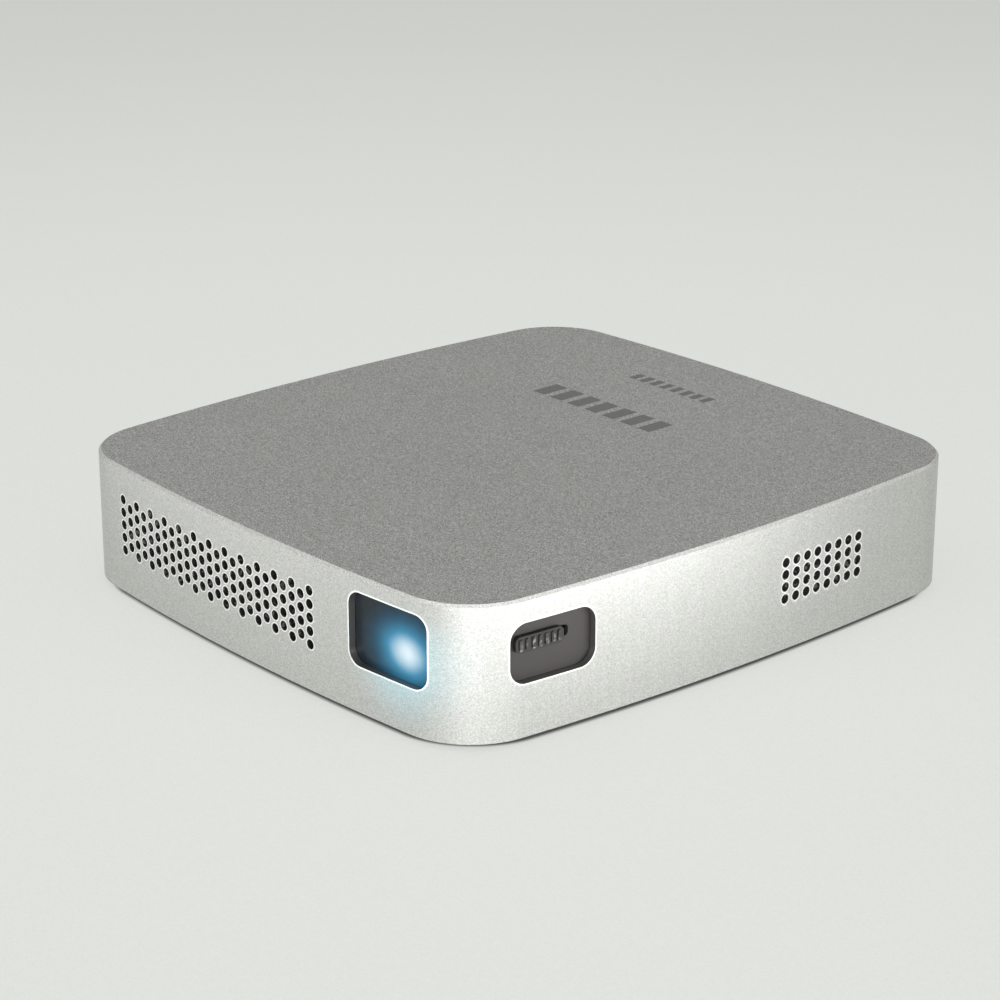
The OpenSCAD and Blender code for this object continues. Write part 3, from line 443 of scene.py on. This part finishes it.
def cloth(name, color, scale):
    """Plain weave of fine threads."""
    m = Maker(name)
    p = m.split(m.coord)
    u = m.math("SINE", m.times(p[1], scale * 2.2))
    v = m.math("SINE", m.times(p[2], scale * 2.2))
    weave = m.most(m.math("ABSOLUTE", u), m.math("ABSOLUTE", v))
    col = m.mix(weave, scaled(color, 0.5), scaled(color, 1.4))
    r = m.math("MULTIPLY_ADD", weave, 0.1, 0.8)
    return m.shade(col, 0.0, r, m.bump(weave, 0.4, 0.00005), Sheen_Weight=0.2)


# the lit spot's layers: full up to, gone from (both mm), fall-off, colour
SPOT = (
    (0.2, 3.3, 1.0, (0.64, 0.44, 0.25)),
    (0.5, 6.2, 1.5, (0.07, 0.27, 0.40)),
    (1.0, 8.7, 1.3, (0.002, 0.14, 0.27)),
)
SPOT_STRETCH = (0.78, 0.78, 1.0)
BLACK = (0.0, 0.0, 0.0)


def window_glass(name):
    """Smoked glass, lit from behind round the lens."""
    m = Maker(name)
    off = m.vec("SUBTRACT", m.coord, tuple(GLOW))
    d = m.vec("LENGTH", m.vec("MULTIPLY", off, SPOT_STRETCH))
    streak = m.noise(260, 3.0)
    light = None
    for full, gone, fall, color in SPOT:
        near = m.fade(d, full * MM, gone * MM)
        if fall != 1.0:
            near = m.math("POWER", near, fall)
        layer = m.mix(near, BLACK, color)
        light = m.vec("ADD", light, layer) if light else layer
    power = m.ramp(streak, 0.2, 0.8, 0.92, 1.08)
    front = m.ramp(m.times(m.split(m.normal())[1], -1.0), 0.5, 0.8)
    col = m.mix(m.ramp(streak, 0.3, 0.7), (0.010, 0.014, 0.018), (0.013, 0.018, 0.023))
    return m.shade(col, 0.0, 0.22, m.bump(streak, 0.02, 0.00001), Specular_IOR_Level=0.25,
                   Emission_Color=light, Emission_Strength=m.times(power, front))


def thumb_grip(name):
    """Satin black grip with pale patches of painted highlight on its rib tops."""
    m = Maker(name)
    flat = m.vec("MULTIPLY", m.vec("ADD", m.coord, (SIDE_C, 0, 0)), (1, 1, 0))
    top = m.ramp(m.vec("LENGTH", flat), SIDE_R - 0.33 * MM, SIDE_R - 0.28 * MM)
    # pale patches on the rib tops: a painted highlight
    rib_glints = m.times(m.ramp(m.noise(1700), 0.48, 0.62), m.ramp(m.noise(420), 0.40, 0.56, 0.15, 1.0))
    g = m.noise(2600)
    col = m.mix(m.times(top, rib_glints), (0.022, 0.020, 0.020), (0.24, 0.24, 0.235))
    return m.shade(col, 0.0, m.math("MULTIPLY_ADD", g, 0.15, 0.4), m.bump(g, 0.3, 0.00002))


# each material slot's maker, called with the slot's name
MADE = {
    # outside
    "shell": shell_metal,
    "window_glass": window_glass,
    "grip_plastic": thumb_grip,
    "key_metal": lambda n: blasted(n, SHELL, 0.47),
    "cover_plastic": lambda n: plastic(n, (0.028, 0.028, 0.030)),
    "panel_plastic": lambda n: plastic(n, (0.040, 0.036, 0.035), 0.46, grain=2400, depth=0.00003,
                                       strength=0.3, vary=0.10),
    "foot_rubber": lambda n: plastic(n, (0.020, 0.020, 0.020), 0.75, grain=1500, depth=0.00004,
                                     strength=0.4),
    "dark_screw": lambda n: metal(n, (0.06, 0.06, 0.065), 0.4),
    "brass": lambda n: metal(n, (0.75, 0.55, 0.22), 0.28, (1, 1, 12)),
    "label": lambda n: plastic(n, (0.42, 0.43, 0.44), 0.45, grain=1800, depth=0.00001,
                               strength=0.1, vary=0.04),
    "ir_plastic": lambda n: plastic(n, (0.030, 0.003, 0.006), 0.12, grain=300, depth=0.00001,
                                    strength=0.05, Coat_Weight=0.4),
    "mesh_cloth": lambda n: cloth(n, (0.16, 0.16, 0.155), 2800),
    "socket_metal": lambda n: metal(n, (0.60, 0.60, 0.58), 0.3, (1, 8, 1)),
    "socket_plastic": lambda n: plastic(n, (0.02, 0.02, 0.02), 0.4),
    # light engine and lens
    "lens_glass": lambda n: glass(n, (0.80, 0.90, 1.0), 0.01, 1.6),
    "optic_glass": lambda n: glass(n, (0.90, 0.95, 1.0), 0.01, 1.5),
    "coated_glass": lambda n: glass(n, (0.62, 0.50, 0.90), 0.02, 1.5),
    "black_anodised": lambda n: metal(n, (0.035, 0.035, 0.038), 0.42, (1, 10, 1)),
    "engine_cast": lambda n: metal(n, (0.10, 0.10, 0.105), 0.55, grain=1600, strength=0.3),
    "lid_sheet": lambda n: metal(n, (0.55, 0.56, 0.57), 0.35, (12, 1, 1)),
    "steel": lambda n: metal(n, (0.58, 0.59, 0.60), 0.3),
    "led_board": lambda n: board(n, (0.60, 0.61, 0.58)),
    "led_die": lambda n: plastic(n, (0.85, 0.65, 0.18), 0.25),
    "chip_package": lambda n: plastic(n, (0.09, 0.09, 0.11), 0.3),
    "flex": lambda n: plastic(n, (0.48, 0.22, 0.05), 0.25, grain=900, depth=0.00001, strength=0.1),
    # cooling
    "copper": lambda n: metal(n, (0.80, 0.38, 0.22), 0.32, (1, 1, 8)),
    "fin_metal": lambda n: metal(n, (0.60, 0.61, 0.62), 0.4, (1, 10, 1)),
    "fan_plastic": lambda n: plastic(n, (0.028, 0.028, 0.030)),
    "rotor_plastic": lambda n: plastic(n, (0.035, 0.035, 0.038), 0.35),
    "winding": lambda n: metal(n, (0.62, 0.28, 0.10), 0.3, (1, 1, 30), grain=500, strength=0.5),
    # electronics
    "green_board": lambda n: board(n, (0.012, 0.10, 0.045)),
    "tin_plate": lambda n: metal(n, (0.62, 0.63, 0.62), 0.34, (8, 1, 1)),
    "chip_black": lambda n: plastic(n, (0.025, 0.025, 0.028)),
    "coil_black": lambda n: plastic(n, (0.07, 0.07, 0.075), grain=1200, depth=0.00005, strength=0.4),
    "tray_plastic": lambda n: plastic(n, (0.04, 0.04, 0.043)),
    "cell_wrap": lambda n: plastic(n, (0.05, 0.12, 0.30), 0.3, grain=500, depth=0.00003,
                                   strength=0.3),
    "cone_paper": lambda n: cloth(n, (0.05, 0.05, 0.052), 1500),
    "key_plastic": lambda n: plastic(n, (0.05, 0.05, 0.052)),
    "antenna_film": lambda n: plastic(n, (0.40, 0.20, 0.05), 0.35, grain=900, depth=0.00001,
                                      strength=0.1),
    "red_lead": lambda n: plastic(n, (0.42, 0.015, 0.012), 0.45),
    "black_lead": lambda n: plastic(n, (0.02, 0.02, 0.02)),
}

materials = {}
for part in frame["record"]["subparts"]:
    slot = part["material_slot"]
    if slot not in materials:
        materials[slot] = MADE[slot](slot)
    data = nodes[part["node"]].data
    data.materials.clear()
    data.materials.append(materials[slot])
    for poly in data.polygons:
        poly.use_smooth = True

# ---- floor: a plain pale sheet that glows, more round the projector as a painted pool of light, and hardly under the shell as a painted contact shadow --

FLOOR = (0.22, 0.225, 0.215)
FLOOR_GLOW = lin(252, 255, 249)
# glow near and far from the projector's middle: a painted pool of light round it
FLOOR_NEAR, FLOOR_FAR = 0.585, 0.44
FLOOR_MIDDLE = (0.03, -0.03, 0.0)
# glow left under the shell's outline: a painted contact shadow
FLOOR_SHADOW_GLOW = 0.05
FLOOR_SIZE = 30

m = Maker("studio_floor")
tone = m.ramp(m.noise(2.0, 2.0), 0.2, 0.8, 0.97, 1.0)
away = m.vec("DISTANCE", m.coord, FLOOR_MIDDLE)
# brighter round the projector: a painted pool of light
glow = m.ramp(away, 0.10, 0.60, FLOOR_NEAR, FLOOR_FAR)
# the glow dims under the shell's outline: a painted contact shadow
glow = m.times(glow, m.ramp(footprint(m, m.split(m.coord)), -1.1 * MM, 0.0, FLOOR_SHADOW_GLOW, 1.0))
speck = m.ramp(m.grains(6000), 0.0, 1.0, 0.96, 1.04, False)
m.shade(m.mix(tone, BLACK, FLOOR), 0.0, 0.9, m.bump(m.noise(900), 0.03, 0.0001),
        Specular_IOR_Level=0.2, Emission_Color=(*FLOOR_GLOW, 1),
        Emission_Strength=m.times(glow, speck))
bpy.ops.mesh.primitive_grid_add(x_subdivisions=8, y_subdivisions=8, size=FLOOR_SIZE,
                                location=(0, 0, 0))
floor = bpy.context.object
floor.name = "studio_floor"
floor.data.materials.append(m.mat)

# ---- camera: solved from the photo -----------------------------------------

CAMERA_AT = (0.32657, -0.28415, 0.1725)
CAMERA_WAY = (-0.7116, 0.6114, -0.3461)

cam = bpy.data.cameras.new("camera")
cam.sensor_width = 36
cam.lens = 106.56
cam.clip_start = 0.01
cam.clip_end = 100
camera = bpy.data.objects.new("camera", cam)
scene.collection.objects.link(camera)
camera.location = CAMERA_AT
camera.rotation_mode = "QUATERNION"
camera.rotation_quaternion = Vector(CAMERA_WAY).to_track_quat("-Z", "Y")
scene.camera = camera

# ---- light -----------------------------------------------------------------

# a bright low wall of light on the lens corner's side, a dim room behind, a soft ceiling
KEY_AZ = math.radians(48)
BAND, ROOM, CEILING = 4.9, 0.26, 1.02

world = bpy.data.worlds.new("studio")
world.use_nodes = True
tree = world.node_tree


def wnode(op, a, b=0.0, c=0.0):
    n = tree.nodes.new("ShaderNodeMath")
    n.operation = op
    for i, v in enumerate((a, b, c)):
        if hasattr(v, "is_output"):
            tree.links.new(v, n.inputs[i])
        else:
            n.inputs[i].default_value = v
    return n.outputs[0]


def wramp(v, lo, hi, out_lo, out_hi):
    n = tree.nodes.new("ShaderNodeMapRange")
    n.interpolation_type = "SMOOTHSTEP"
    tree.links.new(v, n.inputs["Value"])
    for k, x in (("From Min", lo), ("From Max", hi), ("To Min", out_lo), ("To Max", out_hi)):
        n.inputs[k].default_value = x
    return n.outputs["Result"]


way = tree.nodes.new("ShaderNodeSeparateXYZ")
tree.links.new(tree.nodes.new("ShaderNodeTexCoord").outputs["Generated"], way.inputs[0])
wx, wy, wz = way.outputs
level = wnode("SQRT", wnode("ADD", wnode("MULTIPLY", wx, wx), wnode("MULTIPLY", wy, wy)))
toward = wnode("SUBTRACT", wnode("MULTIPLY", wx, math.sin(KEY_AZ)),
               wnode("MULTIPLY", wy, math.cos(KEY_AZ)))
toward = wnode("DIVIDE", toward, wnode("MAXIMUM", level, 0.001))
band = wnode("MULTIPLY", wramp(toward, 0.10, 0.55, 0.0, 1.0), wramp(wz, 0.04, 0.28, 1.0, 0.0))
power = wnode("ADD", wnode("MULTIPLY", band, BAND), wramp(wz, 0.40, 0.95, ROOM, CEILING))
back = tree.nodes["Background"]
back.inputs[0].default_value = (*lin(253, 253, 251), 1)
tree.links.new(power, back.inputs[1])
scene.world = world

# low soft boxes, tipped up off the floor and unseen by the camera: name, place, aim, width, power
PANEL_HEIGHT = 0.045
PANEL_SPREAD = math.radians(80)
PANELS = (
    ("panel_right", (0.150, -0.010, 0.024), (0.050, -0.045, 0.060), 0.12, 0.036),
    ("panel_left", (-0.050, -0.155, 0.024), (0.034, -0.053, 0.055), 0.12, 0.009),
    ("panel_corner", (0.170, -0.150, 0.024), (0.040, -0.040, 0.060), 0.14, 0.041),
)

for name, at, aim, width, watts in PANELS:
    lamp = bpy.data.lights.new(name, "AREA")
    lamp.shape = "RECTANGLE"
    lamp.size, lamp.size_y = width, PANEL_HEIGHT
    lamp.energy = watts
    lamp.spread = PANEL_SPREAD
    box = bpy.data.objects.new(name, lamp)
    scene.collection.objects.link(box)
    box.location = at
    box.rotation_mode = "QUATERNION"
    box.rotation_quaternion = (Vector(aim) - Vector(at)).to_track_quat("-Z", "Y")
    box.visible_camera = False

scene.view_settings.view_transform = "Standard"
scene.view_settings.look = "None"
scene.view_settings.exposure = 0
scene.view_settings.gamma = 1
